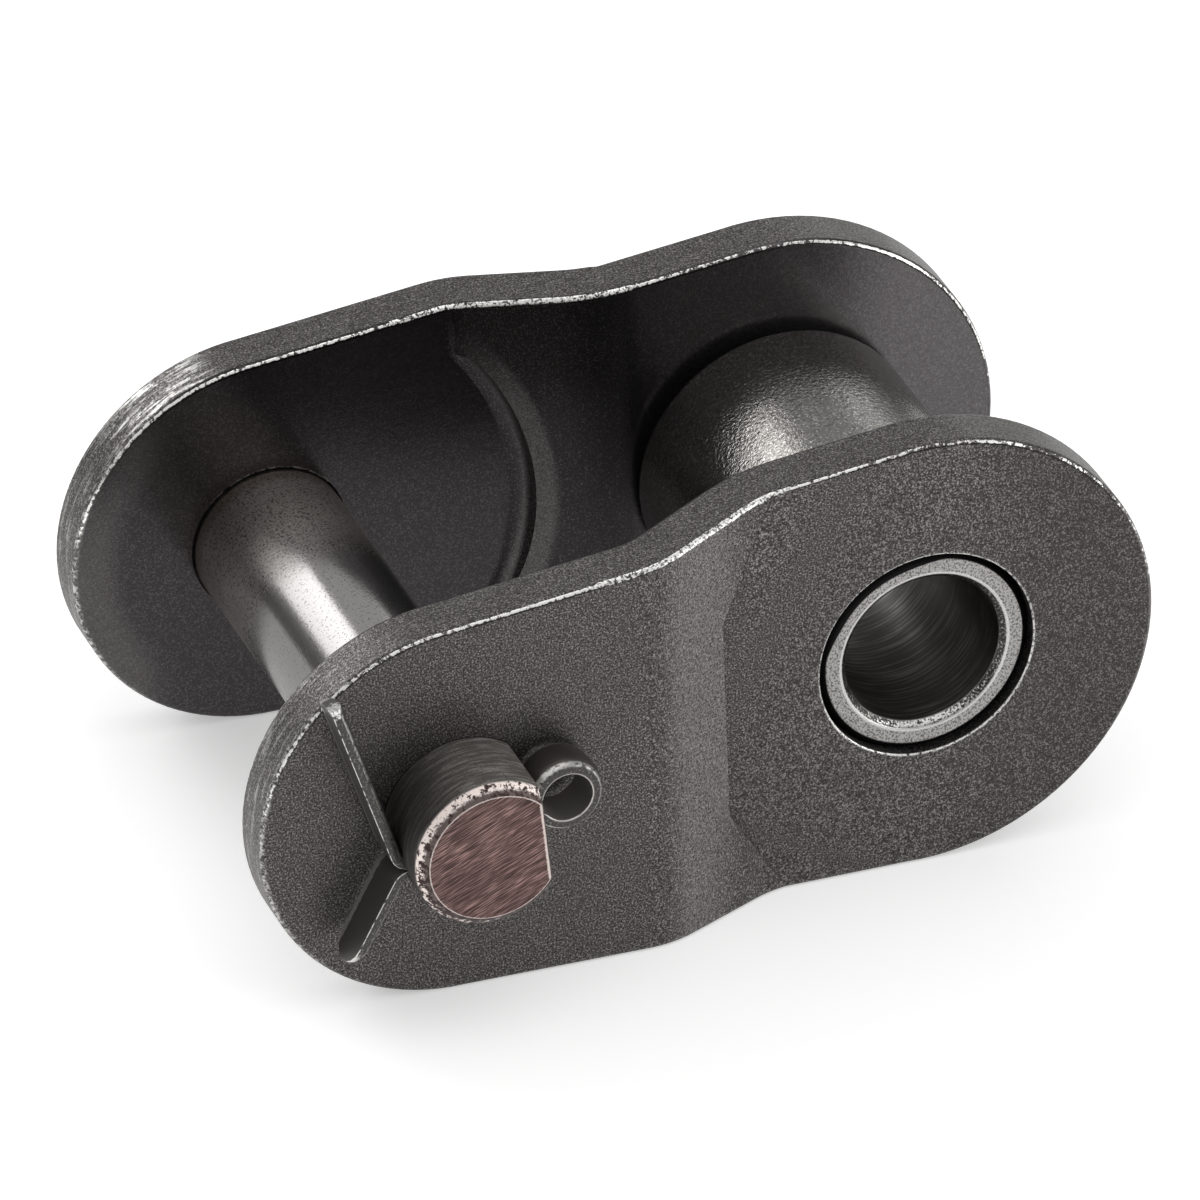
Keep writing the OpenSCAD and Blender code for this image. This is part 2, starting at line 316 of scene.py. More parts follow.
@dataclass(frozen=True)
class PeenedPlate:
    """Blackened sheet steel, peened outside and smooth inside, worn bright along its upper rims."""

    side: Side
    hole_r: float
    pin_x: float
    pin_z: float
    pin_hole_r: float
    body: RGB = tint(78, 75, 74)
    fleck: RGB = tint(164, 160, 159)
    # Dark colour of the grain's pits, also used for painted shade.
    pit: RGB = tint(38, 36, 35)
    # Colour of the rim walls' drawn streaks and of their painted sheen.
    band_and_sheen: RGB = tint(112, 111, 109)
    bare: RGB = tint(242, 241, 238)
    # Lighter colour for the painted sheen on the crank, the painted reflection on the pocket's lip
    # and the lighter margin round the pin end.
    sheen_and_rubbed: RGB = tint(122, 119, 118)
    inside: RGB = tint(72, 69, 70)
    # Lighter inner colour towards the bush end: a painted sheen.
    inside_right_sheen: RGB = tint(92, 89, 90)
    grain: float = 11.0
    rough: float = 0.46
    smooth: float = 0.2
    metal: float = 0.88
    dent_depth: float = 0.03
    ramp: tuple[float, float] = (-17.4, -13.0)
    crank: tuple[float, float] = (-18.0, -8.5)
    bush_side: tuple[float, float] = (0.0, 8.0)
    pin_end: tuple[float, float] = (-34.0, -29.0)
    relief_half: float = 5.5
    pocket_r: float = 13.5

    def material(self) -> bpy.types.Material:
        """Builds the finish."""
        g = Graph(f"{self.side.name.lower()}_plate_peened")
        at = self.spot(g)
        grain = g.noise(at.place, self.grain, 1.0, 0.6)
        coarse = g.noise(at.place, 0.4 * self.grain, 2.0)
        patch = g.noise(at.place, 0.16, 3.0)
        right_end = at.outside * g.step(at.x, *self.bush_side)
        base = g.mixed(at.inner, self.body, self.smooth_side(g, at))
        base = g.mixed(right_end * 0.3, base, self.pit)
        base = self.sheen_and_rubbed_parts(g, at, base, grain, patch)
        crisp = 1.0 - at.inner * 0.75 - right_end * 0.35
        light = g.step(grain, 0.5, 0.72) * (0.45 + patch * 0.5)
        colour = g.mixed(light * crisp, base, self.fleck)
        colour = g.mixed(g.fall(grain, 0.3, 0.5) * 0.85 * crisp, colour, self.pit)
        worn = self.wear(g, at)
        shade = g.between(at.facing, 0.92, 0.985, 0.02) * g.step(at.nz, 0.03, 0.2)
        colour = g.mixed(shade * 0.85, colour, self.pit)
        colour = g.mixed(worn, colour, self.bare)
        g.bump((grain * 0.5 + coarse * 0.5) * crisp, self.dent_depth, 0.5)
        even = at.inner * g.fall(g.size(at.nx), 0.02, 0.12)
        polish = (even * 0.5 + at.inner * 0.5) * (self.smooth - self.rough)
        roughness = self.rough + (patch - 0.5) * 0.12 - worn * 0.12 + polish
        return g.surface(base_color=colour, metallic=self.metal, roughness=roughness)

    def spot(self, g: Graph) -> PlateSpot:
        """Works out what the finish knows of each point.

        Args:
            g: Graph of the material.

        Returns:
            The place, the normal and the masks of the plate's faces.
        """
        place = g.place()
        x, _, z = g.parts(place)
        nx, ny, nz = g.normal()
        facing = g.size(ny)
        outside = g.step(ny * float(self.side.value), -0.05, 0.05)
        wall = g.fall(facing, 0.12, 0.3)
        return PlateSpot(
            place=place,
            x=x,
            z=z,
            nx=nx,
            nz=nz,
            from_pin=g.reach(x - self.pin_x, z - self.pin_z),
            facing=facing,
            outside=outside,
            wall=wall,
            inner=(1.0 - outside) * (1.0 - wall),
            streak=g.noise(g.place((0.5, 5.0, 0.5)), 1.0, 3.0, 0.6),
        )

    def smooth_side(self, g: Graph, at: PlateSpot) -> Signal:
        """Colours the smooth inner face, with painted sheen towards the bush end and painted shade
        on the crank's slope and its first bend.

        Args:
            g: Graph of the material.
            at: What is known of each point.

        Returns:
            The inner face's colour.
        """
        lean = g.size(at.nx)
        # Painted sheen: the inner face lightens towards the bush end.
        colour = g.mixed(g.step(at.x, -8.0, 8.0), self.inside, self.inside_right_sheen)
        # Painted shade on the crank's slope, deeper towards the top, and on its first bend.
        slope = g.step(lean, 0.03, 0.25) * (0.4 + g.step(at.z, 3.0, 7.0) * 0.4)
        colour = g.mixed(slope, colour, self.pit)
        first_bend = g.between(lean, 0.012, 0.2, 0.008) * g.fall(at.x, -16.0, -14.0)
        return g.mixed(first_bend * g.step(at.z, 2.5, 5.5) * 0.6, colour, self.pit)

    def sheen_and_rubbed_parts(
        self, g: Graph, at: PlateSpot, base: Signal, grain: Signal, patch: Signal
    ) -> Signal:
        """Paints sheen on the crank's outer slope and a reflection on the pocket's lip, lightens
        the pin end's margin, and colours the rim walls with drawn streaks, painted sheen and
        painted shade.

        Args:
            g: Graph of the material.
            at: What is known of each point.
            base: Colour so far.
            grain: Fine noise.
            patch: Slow noise.

        Returns:
            The colour with the lighter parts.
        """
        half = self.relief_half
        # Painted sheen on the crank's outer slope, faded near the relief's slanted corners.
        corners = g.step(g.size(at.z), half - 1.0, half + 2.0) * g.step(at.x, -12.5, -9.5)
        ramp = g.step(g.size(at.nx), 0.12, 0.4) * g.step(at.x, *self.ramp) * (1.0 - corners)
        base = g.mixed(ramp * at.outside * (1.0 - at.wall) * 0.6, base, self.sheen_and_rubbed)
        # Painted reflection along the pocket's lip on the inner face.
        lip = g.between(at.from_pin, self.pocket_r + 0.05, self.pocket_r + 0.7, 0.5)
        base = g.mixed(lip * g.fall(at.z, 4.0, 9.0) * at.inner * grain, base, self.sheen_and_rubbed)
        margin = g.step(at.from_pin, 7.4, 9.0) * g.fall(at.x, -32.5, -30.0) * at.inner
        base = g.mixed(margin * (0.15 + patch * 0.35), base, self.sheen_and_rubbed)
        # Rim walls: drawn streaks, with painted sheen where they face right.
        turned = g.between(at.nx, 0.25, 0.6, 0.2)
        drawn = g.step(at.streak, 0.4, 0.75) * 0.5 + turned * 0.6
        base = g.mixed(at.wall * drawn, base, self.band_and_sheen)
        if self.side is Side.FAR:
            # Painted shade on the far plate's left-facing rim walls.
            base = g.mixed(at.wall * g.fall(at.nx, -0.8, -0.3) * 0.45, base, self.pit)
            # Painted sheen on the far plate's rim walls towards the bush end.
            base = g.mixed(at.wall * g.step(at.x, -4.0, 5.0) * 0.4, base, self.band_and_sheen)
        return base

    def wear(self, g: Graph, at: PlateSpot) -> Signal:
        """Works out where the rims, the holes' edges and the round pin end are worn bare.

        Args:
            g: Graph of the material.
            at: What is known of each point.

        Returns:
            Share of bare metal.
        """
        ragged = g.noise(at.place, 4.5, 3.0, 0.7)
        slow = g.noise(at.place, 0.3, 2.0)
        edges = g.larger(self.rim_line(g, at, ragged, slow), self.burrs(g, at, ragged, slow))
        return g.larger(edges, self.end_scuffs(g, at, ragged))

    def rim_line(self, g: Graph, at: PlateSpot, ragged: Signal, slow: Signal) -> Signal:
        """Draws the bare line along the upper rim, broader and more chipped at the crank.

        Args:
            g: Graph of the material.
            at: What is known of each point.
            ragged: Fine noise that frays the line.
            slow: Slow noise that widens and narrows it.

        Returns:
            Share of bare metal.
        """
        crank = g.between(at.x, *self.crank, 2.0)
        rim = g.between(at.facing, 0.66, 0.84, 0.14)
        rim = g.larger(rim, g.between(at.facing, 0.42, 0.9, 0.14) * crank)
        rim = rim * g.step(at.nz, 0.02, 0.3)
        near = self.side is Side.NEAR
        lead = at.outside if near else 1.0 - at.outside
        thinner = g.step(at.x, -8.0, 0.0) * (0.3 if near else 0.0)
        line = rim * (0.2 + lead * 0.8) * (0.22 + slow * 1.05 + crank * 0.2 - thinner)
        line = g.step(line + (ragged - 0.5) * 3.6, 0.42, 0.7)
        chips = g.fall(g.noise(at.place, 7.0, 2.0, 0.7), 0.38, 0.54)
        high = g.larger(g.step(at.z, -1.0, 2.0), g.fall(at.x, -29.0, -26.0))
        return line * (1.0 - crank * chips) * g.step(rim, 0.05, 0.3) * high

    def end_scuffs(self, g: Graph, at: PlateSpot, ragged: Signal) -> Signal:
        """Scuffs the edge of the round pin end and the rims beside it.

        Args:
            g: Graph of the material.
            at: What is known of each point.
            ragged: Fine noise that breaks the scuffs up.

        Returns:
            Share of bare metal.
        """
        end = g.fall(at.x, *self.pin_end) * g.fall(at.nx, -0.7, -0.15)
        scuffs = end * at.wall * g.step(at.streak + ragged * 0.4, 0.7, 1.02) * 0.38
        if self.side is Side.FAR:
            corner = g.between(at.nx, -0.7, -0.36, 0.14) * g.step(at.nz, 0.2, 0.4) * at.wall
            scratches = g.step(at.streak * 1.1 + ragged * 0.5, 0.74, 1.04)
            scuffs = g.larger(scuffs, corner * scratches * 0.66)
        brim = end * g.between(at.facing, 0.2, 0.96, 0.2) * g.step(ragged, 0.42, 0.66) * 0.6
        return g.larger(scuffs, brim)

    def burrs(self, g: Graph, at: PlateSpot, ragged: Signal, slow: Signal) -> Signal:
        """Brightens the edge of the bush's hole, and of the far plate's pin hole at its top.

        Args:
            g: Graph of the material.
            at: What is known of each point.
            ragged: Fine noise that breaks the burrs up.
            slow: Slow noise that makes them come and go.

        Returns:
            Share of bare metal.
        """
        face = g.step(at.facing, 0.3, 0.4)
        from_bush = g.reach(at.x, at.z) + (ragged - 0.5) * 0.3
        at_bush = g.fall(from_bush, self.hole_r + 0.07, self.hole_r + 0.13)
        burr = face * at_bush * g.step(ragged + slow * 0.3, 0.52, 0.7) * 0.9
        if self.side is Side.FAR:
            at_pin = g.fall(at.from_pin, self.pin_hole_r + 0.1, self.pin_hole_r + 0.18)
            top = g.step(at.z - self.pin_z, 2.0, 3.6)
            burr = g.larger(burr, at_pin * top * face * g.step(ragged, 0.4, 0.6) * 0.7)
        return burr


@dataclass(frozen=True)
class TurnedBush:
    """Hardened bush: bright speckled end rings, dark chamfers and a bore with turning marks, with
    painted shade on the outer chamfers and the bore's upper half and a painted glint low in the
    bore's chamfer.
    """

    bore_r: float
    ring_in: float
    ring_out: float
    face: RGB = tint(166, 164, 162)
    speck: RGB = tint(64, 63, 61)
    bore: RGB = tint(118, 116, 113)
    dust: RGB = tint(172, 170, 165)
    painted_shade: RGB = tint(26, 25, 25)
    mouth: RGB = tint(226, 225, 222)

    def material(self) -> bpy.types.Material:
        """Builds the finish."""
        g = Graph("bush_turned")
        place = g.place()
        x, _, z = g.parts(place)
        away = g.reach(x, z)
        grain = g.noise(place, 9.0, 1.5, 0.6)
        rings = g.noise(g.place((0.3, 7.0, 0.3)), 1.0, 2.0)
        dust = g.noise(place, 0.7, 3.0)
        ring = g.mixed(g.fall(grain, 0.36, 0.56) * 0.8, self.face, self.speck)
        edge = g.between(away, self.ring_in - 0.02, self.ring_in + 0.08, 0.05)
        ring = g.mixed(edge * 0.6, ring, self.mouth)
        chamfer = g.fall(away, self.ring_in - 0.08, self.ring_in - 0.02)
        # Painted glint on the lower side of the bore's chamfer.
        lit = g.step((x * 0.1 - z) * 0.22 + (grain - 0.5) * 1.4, 0.72, 1.0)
        lit = lit * g.fall(away, self.ring_in - 0.16, self.ring_in)
        mouth = g.mixed(lit, g.mixed(g.step(grain, 0.5, 0.7), self.speck, self.dust), self.mouth)
        colour = g.mixed(chamfer, ring, mouth)
        inside = g.fall(away, self.bore_r + 0.02, self.bore_r + 0.08)
        # Painted shade on the bore's upper half.
        wall = g.mixed(g.step(z, -2.0, 2.5) * 0.62, self.bore, self.painted_shade)
        colour = g.mixed(inside, colour, wall)
        dusty = g.step(dust, 0.4, 0.62) * 0.45 + g.fall(z, -3.5, -0.5) * 0.6
        colour = g.mixed(inside * g.step(rings, 0.45, 0.62) * dusty, colour, self.dust)
        # Painted shade on the outer chamfer, reaching further in at the upper left as a painted
        # shadow.
        lee_shadow = g.step((z * 0.8 - x * 0.6) * 0.2 + (grain - 0.5) * 0.1, 0.68, 0.92) * 0.25
        outer = g.step(away + lee_shadow, self.ring_out - 0.02, self.ring_out + 0.06)
        colour = g.mixed(outer, colour, self.painted_shade)
        g.bump(grain * (1.0 - inside) + rings * inside, 0.02, 0.35)
        rough = 0.34 + inside * 0.06 + outer * 0.25
        return g.surface(base_color=colour, metallic=1.0, roughness=rough)


@dataclass(frozen=True)
class SatinRoller:
    """Satin roller with the fine dents of shot peening."""

    body: RGB = tint(120, 118, 115)
    fleck: RGB = tint(190, 188, 185)
    pit: RGB = tint(76, 74, 70)

    def material(self) -> bpy.types.Material:
        """Builds the finish."""
        g = Graph("roller_satin")
        place = g.place()
        dents = g.noise(place, 5.0, 2.0, 0.55)
        grain = g.noise(place, 8.0, 1.0)
        colour = g.mixed(g.step(grain, 0.5, 0.75) * 0.7, self.body, self.fleck)
        colour = g.mixed(g.fall(dents, 0.3, 0.46) * 0.6, colour, self.pit)
        g.bump(dents * 0.8 + grain * 0.2, 0.05, 0.7)
        return g.surface(base_color=colour, metallic=0.95, roughness=0.195)


@dataclass(frozen=True)
class GroundPin:
    """Ground pin: polished bearing length, dull ends and a copper-tinted near face."""

    axis_x: float
    axis_z: float
    plate_out: float
    plate_in: float
    face_y: float
    face_r: float
    chamfer: float
    flat: Vector
    flat_away: float
    steel: RGB = tint(152, 150, 149)
    dull: RGB = tint(176, 170, 165)
    side: RGB = tint(112, 109, 104)
    scratch: RGB = tint(176, 172, 166)
    copper: RGB = tint(102, 77, 73)
    copper_dark: RGB = tint(58, 40, 38)
    copper_light: RGB = tint(170, 138, 133)
    dust: RGB = tint(196, 190, 186)
    # Dark colour of the specks of dirt, also used for painted shade on the pin's left side.
    soot_and_shade: RGB = tint(52, 49, 47)
    rust: RGB = tint(118, 96, 80)
    bare: RGB = tint(248, 234, 228)
    polish_end: float = 4.0
    brush_turn: float = math.radians(27)

    def material(self) -> bpy.types.Material:
        """Builds the finish."""
        g = Graph("pin_ground")
        place = g.place()
        x, y, z = g.parts(place)
        nx, ny, nz = g.normal()
        grain = g.noise(place, 7.0, 2.0, 0.6)
        fine = g.noise(g.place((2.0, 0.6, 2.0)), 4.0, 2.0)
        specks = g.noise(place, 9.0, 1.0)
        matte = g.step(y + (specks - 0.5) * 3.0, self.polish_end - 2.5, self.polish_end + 3.5)
        dusty = g.mixed(g.step(specks, 0.5, 0.75), self.dull, self.dust)
        dusty = g.mixed(g.fall(specks, 0.3, 0.5) * 0.6, dusty, self.soot_and_shade)
        colour = g.mixed(matte, self.steel, dusty)
        colour = g.mixed(g.fall(specks, 0.28, 0.42) * 0.6, colour, self.soot_and_shade)
        hollow = g.step(y + (grain - 0.5) * 0.8, self.plate_in - 1.3, self.plate_in - 0.5)
        colour = g.mixed(hollow * 0.5, colour, self.rust)
        colour = g.mixed(g.step(y, self.plate_in - 0.3, self.plate_in - 0.12), colour, self.soot_and_shade)
        # Painted shade on the pin's left side.
        colour = g.mixed(g.fall(nx, -0.9, -0.15) * 0.5, colour, self.soot_and_shade)
        out = g.step(g.size(y), self.plate_out - 0.1, self.plate_out + 0.1)
        hoop = g.noise(g.place((0.5, 6.0, 0.5)), 1.0, 2.0, 0.7)
        round_side = g.fall(g.size(ny), 0.4, 0.7)
        shaded_ends = g.mixed(g.step(hoop, 0.46, 0.66) * round_side * 0.8, self.side, self.scratch)
        shaded_ends = g.mixed(g.fall(specks, 0.3, 0.46) * 0.5, shaded_ends, self.soot_and_shade)
        # Painted shade on the left side of the pin's outer ends.
        shaded_ends = g.mixed(g.fall(nx, -0.85, -0.1) * 0.75, shaded_ends, self.soot_and_shade)
        colour = g.mixed(out, colour, shaded_ends)
        rough = 0.17 + matte * 0.25 + out * 0.33
        face = g.step(ny * -1.0, 0.9, 0.97) * g.fall(y, self.face_y + 0.02, self.face_y + 0.06)
        back_y = self.face_y + self.chamfer
        corner = g.fall(y, back_y - 0.08, back_y + 0.02) * (1.0 - face)
        chips = g.noise(place, 3.6, 3.0, 0.65)
        # Bare chips of wear on the chamfer, with a painted highlight that favours its upper side.
        sheen_and_rubbed = g.step(chips * 1.6 + nz * 0.15 - nx * 0.08, 0.74, 0.9)
        inner = g.fall(y + (grain - 0.5) * 0.3, self.face_y + 0.16, self.face_y + 0.3)
        colour = g.mixed(corner, colour, g.mixed(sheen_and_rubbed, self.copper_dark, self.bare))
        colour = g.mixed(corner * inner * 0.9, colour, self.copper_dark)
        away = g.reach(x - self.axis_x, z - self.axis_z)
        lip = g.between(away + (grain - 0.5) * 0.1, self.face_r - 0.06, self.face_r + 0.03, 0.03)
        to_flat = (x - self.axis_x) * self.flat.x + (z - self.axis_z) * self.flat.z
        to_flat = to_flat + (grain - 0.5) * 0.15
        lip = g.larger(lip, g.step(to_flat, self.flat_away - 0.24, self.flat_away - 0.16))
        colour = g.mixed(face, colour, g.mixed(lip * 0.75, self.brushed(g, x, z), self.bare))
        g.bump(grain * 0.6 + fine * 0.4, 0.012, 0.35)
        rough = rough + face * 0.02
        return g.surface(base_color=colour, metallic=0.95 - out * 0.4, roughness=rough)

    def brushed(self, g: Graph, x: Signal, z: Signal) -> Signal:
        """Draws the copper-tinted face with its slanting brush lines.

        Args:
            g: Graph of the material.
            x: Place along the link.
            z: Height.

        Returns:
            The face's colour.
        """
        turn = (math.cos(self.brush_turn), math.sin(self.brush_turn))
        along = x * turn[0] + z * turn[1]
        across = z * turn[0] - x * turn[1]
        lines = g.noise(g.joined(along * 0.8, across * 16.0, 0.0), 1.0, 2.0, 0.6)
        cloud = g.noise(g.joined(x, 0.0, z), 0.5, 2.0)
        colour = g.mixed(g.step(lines, 0.5, 0.64), self.copper, self.copper_light)
        colour = g.mixed(g.fall(lines, 0.36, 0.5), colour, self.copper_dark)
        return g.mixed(g.step(cloud, 0.4, 0.7) * 0.45, colour, self.copper_dark)


@dataclass(frozen=True)
class DrawnWire:
    """Drawn steel wire, dark on its flats and worn bright along its edges, with painted light
    inside its eye.
    """

    eye_x: float
    eye_z: float
    eye_r: float
    back_y: float
    tip: float
    lean: tuple[float, float] = (-0.363, 0.932)
    body: RGB = tint(70, 68, 66)
    dark: RGB = tint(100, 98, 94)
    barrel: RGB = tint(98, 94, 90)
    # Light colour painted inside the eye in place of reflected light.
    hollow: RGB = tint(180, 177, 172)
    fleck: RGB = tint(140, 138, 135)
    bare: RGB = tint(232, 231, 227)

    def material(self) -> bpy.types.Material:
        """Builds the finish."""
        g = Graph("cotter_wire")
        place = g.place()
        x, y, z = g.parts(place)
        nx, ny, nz = g.normal()
        grain = g.noise(place, 8.0, 1.5, 0.6)
        ragged = g.noise(place, 4.0, 2.0)
        front = g.step(ny * -1.0, 0.25, 0.6)
        away = g.reach(x - self.eye_x, z - self.eye_z)
        eye = g.fall(away, self.eye_r + 0.8, self.eye_r + 0.9)
        inside = g.fall(away, self.eye_r + 0.04, self.eye_r + 0.12)
        colour = g.mixed(eye, self.dark, self.barrel)
        # Painted light on the eye's inner face.
        colour = g.mixed(inside, colour, self.hollow)
        colour = g.mixed(front * (1.0 - inside), colour, self.body)
        colour = g.mixed(g.step(grain, 0.5, 0.72) * front * 0.65, colour, self.fleck)
        edge = g.between(g.size(ny), 0.45, 0.88, 0.1) * g.step(ragged, 0.34, 0.54)
        edge = edge * (0.4 + g.fall(nx, -0.4, 0.1) * 0.5)
        back = g.step(y + (ragged - 0.5) * 0.2, self.back_y - 0.4, self.back_y - 0.3)
        edge = g.larger(edge, back * (1.0 - eye) * 0.5)
        along = x * self.lean[0] + z * self.lean[1] + (ragged - 0.5) * 0.8
        end = g.step(along, self.tip - 0.4, self.tip - 0.2) * g.step(grain, 0.3, 0.5)
        colour = g.mixed(g.larger(edge, end), colour, self.bare)
        g.bump(grain, 0.015, 0.4)
        return g.surface(base_color=colour, metallic=0.85, roughness=0.34)


class Piece:
    """A piece that starts as the merged copy of a CAD node and is then shaped in edit mode."""

    def __init__(self, name: str, node: str) -> None:
        """Copies the node's mesh, joins its loose triangles and clears its flat faces.

        Args:
            name: Name of the piece.
            node: Name of the CAD node that the piece stands for.
        """
        self.node = node
        self.object = bpy.data.objects.new(name, frame["nodes"][node].data.copy())
        bpy.context.scene.collection.objects.link(self.object)
        bpy.ops.object.select_all(action="DESELECT")
        self.object.select_set(True)
        bpy.context.view_layer.objects.active = self.object
        bpy.ops.mesh.customdata_custom_splitnormals_clear()
        bpy.ops.object.mode_set(mode="EDIT")
        bpy.ops.mesh.select_all(action="SELECT")
        bpy.ops.mesh.remove_doubles(threshold=MERGE)
        bpy.ops.mesh.dissolve_limited(angle_limit=FLAT)
        bpy.ops.object.mode_set(mode="OBJECT")

    def round_edges(self, test: EdgeTest, width_mm: float, segments: int) -> int:
        """Rounds the edges that pass a test.

        Args:
            test: Says whether an edge is rounded.
            width_mm: Width of the rounding on each side of the edge.
            segments: Number of steps across the rounding.

        Returns:
            Number of edges rounded.
        """
        bpy.ops.object.mode_set(mode="EDIT")
        bpy.ops.mesh.select_mode(type="EDGE")
        bpy.ops.mesh.select_all(action="DESELECT")
        shape = bmesh.from_edit_mesh(self.object.data)
        picked = [e for e in shape.edges if len(e.link_faces) == 2 and test(e)]
        for edge in picked:
            edge.select_set(True)
        bmesh.update_edit_mesh(self.object.data)
        bpy.ops.mesh.bevel(
            offset=width_mm * MM,
            segments=segments,
            profile=0.5,
            affect="EDGES",
            clamp_overlap=False,
        )
        bpy.ops.object.mode_set(mode="OBJECT")
        return len(picked)

    def pick_points(self, test: PointTest) -> None:
        """Goes into edit mode and selects the points that pass a test."""
        bpy.ops.object.mode_set(mode="EDIT")
        bpy.ops.mesh.select_mode(type="VERT")
        bpy.ops.mesh.select_all(action="DESELECT")
        shape = bmesh.from_edit_mesh(self.object.data)
        for vert in shape.verts:
            vert.select_set(test(vert.co))
        bmesh.update_edit_mesh(self.object.data)

    def close_steps(self, test: PointTest, width_mm: float) -> None:
        """Joins the points that pass a test where they lie closer together than a width.

        Args:
            test: Says whether a point may be joined.
            width_mm: Widest step that is closed.
        """
        self.pick_points(test)
        bpy.ops.mesh.remove_doubles(threshold=width_mm * MM)
        bpy.ops.object.mode_set(mode="OBJECT")

    def flatten(self, test: PointTest, level: float) -> None:
        """Brings the points that pass a test to one level along Y and joins the flat faces.

        Args:
            test: Says whether a point is moved.
            level: The level.
        """
        self.pick_points(test)
        bpy.ops.transform.resize(value=(1.0, 0.0, 1.0), center_override=(0.0, level, 0.0))
        bpy.ops.mesh.select_all(action="SELECT")
        bpy.ops.mesh.dissolve_limited(angle_limit=FLAT)
        bpy.ops.object.mode_set(mode="OBJECT")

    def finish(
        self, material: bpy.types.Material, slot: str, smooth_angle: float = 30.0
    ) -> bpy.types.Object:
        """Smooths the piece, gives it its material and puts it in the CAD node's place.

        Args:
            material: Finish of the piece.
            slot: Slot of the record that the finish belongs to. Not used.
            smooth_angle: Largest angle in degrees between faces that shade as one surface.

        Returns:
            The finished object.
        """
        bpy.ops.object.select_all(action="DESELECT")
        self.object.select_set(True)
        bpy.context.view_layer.objects.active = self.object
        bpy.ops.object.shade_smooth_by_angle(angle=math.radians(smooth_angle))
        even = self.object.modifiers.new("even_light", "WEIGHTED_NORMAL")
        even.keep_sharp = True
        even.weight = 100
        bpy.ops.object.modifier_apply(modifier=even.name)
        self.object.data.materials.clear()
        self.object.data.materials.append(material)
        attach(self.object, LINK)
        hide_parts(self.node)
        return self.object


@dataclass
class SidePlate:
    """One cranked side plate with rolled rims."""

    side: Side
    rim: float = 0.3
    rim_steps: int = 8
    hole_rim: float = 0.11
    hole_steps: int = 3
    outline_slack: float = 0.04
    step: float = 0.12
    split: float = -12.0
    bush_face: float = 11.425
    lift: float = 0.03
    smooth_angle: float = 12.0

    def build(self) -> Piece:
        """Copies the plate and rounds its rims and the edges of its holes."""
        name = self.side.name.lower()
        piece = Piece(f"{name}_side_plate", f"{name}_plate")
        low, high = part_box(f"{name}_plate")
        pin = Vector(mount("pin_journal")["pos_m"])
        hole_r = self.hole_r() * MM
        pin_r = mount("pin_journal")["dims"]["r_mm"] * MM

        def is_rim(edge: bmesh.types.BMEdge) -> bool:
            """Tells an edge between a face and a wall across the plate."""
            facing = sorted(abs(f.normal.y) for f in edge.link_faces)
            return facing[0] < 0.2 and facing[1] > 0.7

        def on_outline(point: Vector) -> bool:
            """Tells a point on the outline of the two round ends and their tangents."""
            depth = outline_depth(point, pin, high.z, pin.x - low.x)
            return depth < self.outline_slack * MM

        def at_hole(point: Vector) -> bool:
            """Tells a point on the edge of the bush's hole or the pin's hole."""
            from_bush = math.hypot(point.x, point.z) - hole_r
            from_pin = math.hypot(point.x - pin.x, point.z - pin.z) - pin_r
            return min(abs(from_bush), abs(from_pin)) < self.outline_slack * MM

        def all_pass(edge: bmesh.types.BMEdge, test: PointTest) -> bool:
            """Tells a rim whose two ends both pass a test."""
            return is_rim(edge) and all(test(v.co) for v in edge.verts)

        sign = self.side.value
        pin_level = sign * mount("pin_journal")["dims"]["length_mm"] / 2 * MM
        bush_level = sign * self.bush_face * MM
        split, lift = self.split * MM, self.lift * MM
        piece.flatten(lambda p: p.x < split and abs(p.y - pin_level) < lift, pin_level)
        piece.flatten(lambda p: p.x > split and abs(p.y - bush_level) < lift, bush_level)
        piece.close_steps(on_outline, self.step)
        piece.round_edges(lambda e: all_pass(e, on_outline), self.rim, self.rim_steps)
        piece.round_edges(lambda e: all_pass(e, at_hole), self.hole_rim, self.hole_steps)
        return piece

    @staticmethod
    def hole_r() -> float:
        """Gives the radius of the bush's hole in millimetres."""
        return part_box("bush")[1].z / MM

    def dress(self) -> bpy.types.Object:
        """Builds the plate and gives it its peened finish."""
        pin = mount("pin_journal")
        axis = Vector(pin["pos_m"]) / MM
        look = PeenedPlate(self.side, self.hole_r(), axis.x, axis.z, pin["dims"]["r_mm"])
        return self.build().finish(look.material(), "plate", self.smooth_angle)


@dataclass
class Bush:
    """The bush pressed into both plates."""

    corner: float = 0.07
    bore_chamfer: float = 0.35
    chamfer: float = 0.45

    def dress(self) -> bpy.types.Object:
        """Builds the bush with eased corners and gives it its turned finish."""
        piece = Piece("pressed_bush", "bush")
        piece.round_edges(lambda e: e.calc_face_angle() > math.radians(30), self.corner, 3)
        bore_r = mount("bush_bore")["dims"]["r_mm"]
        outer_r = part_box("bush")[1].z / MM
        look = TurnedBush(bore_r, bore_r + self.bore_chamfer, outer_r - self.chamfer)
        return piece.finish(look.material(), "bush")


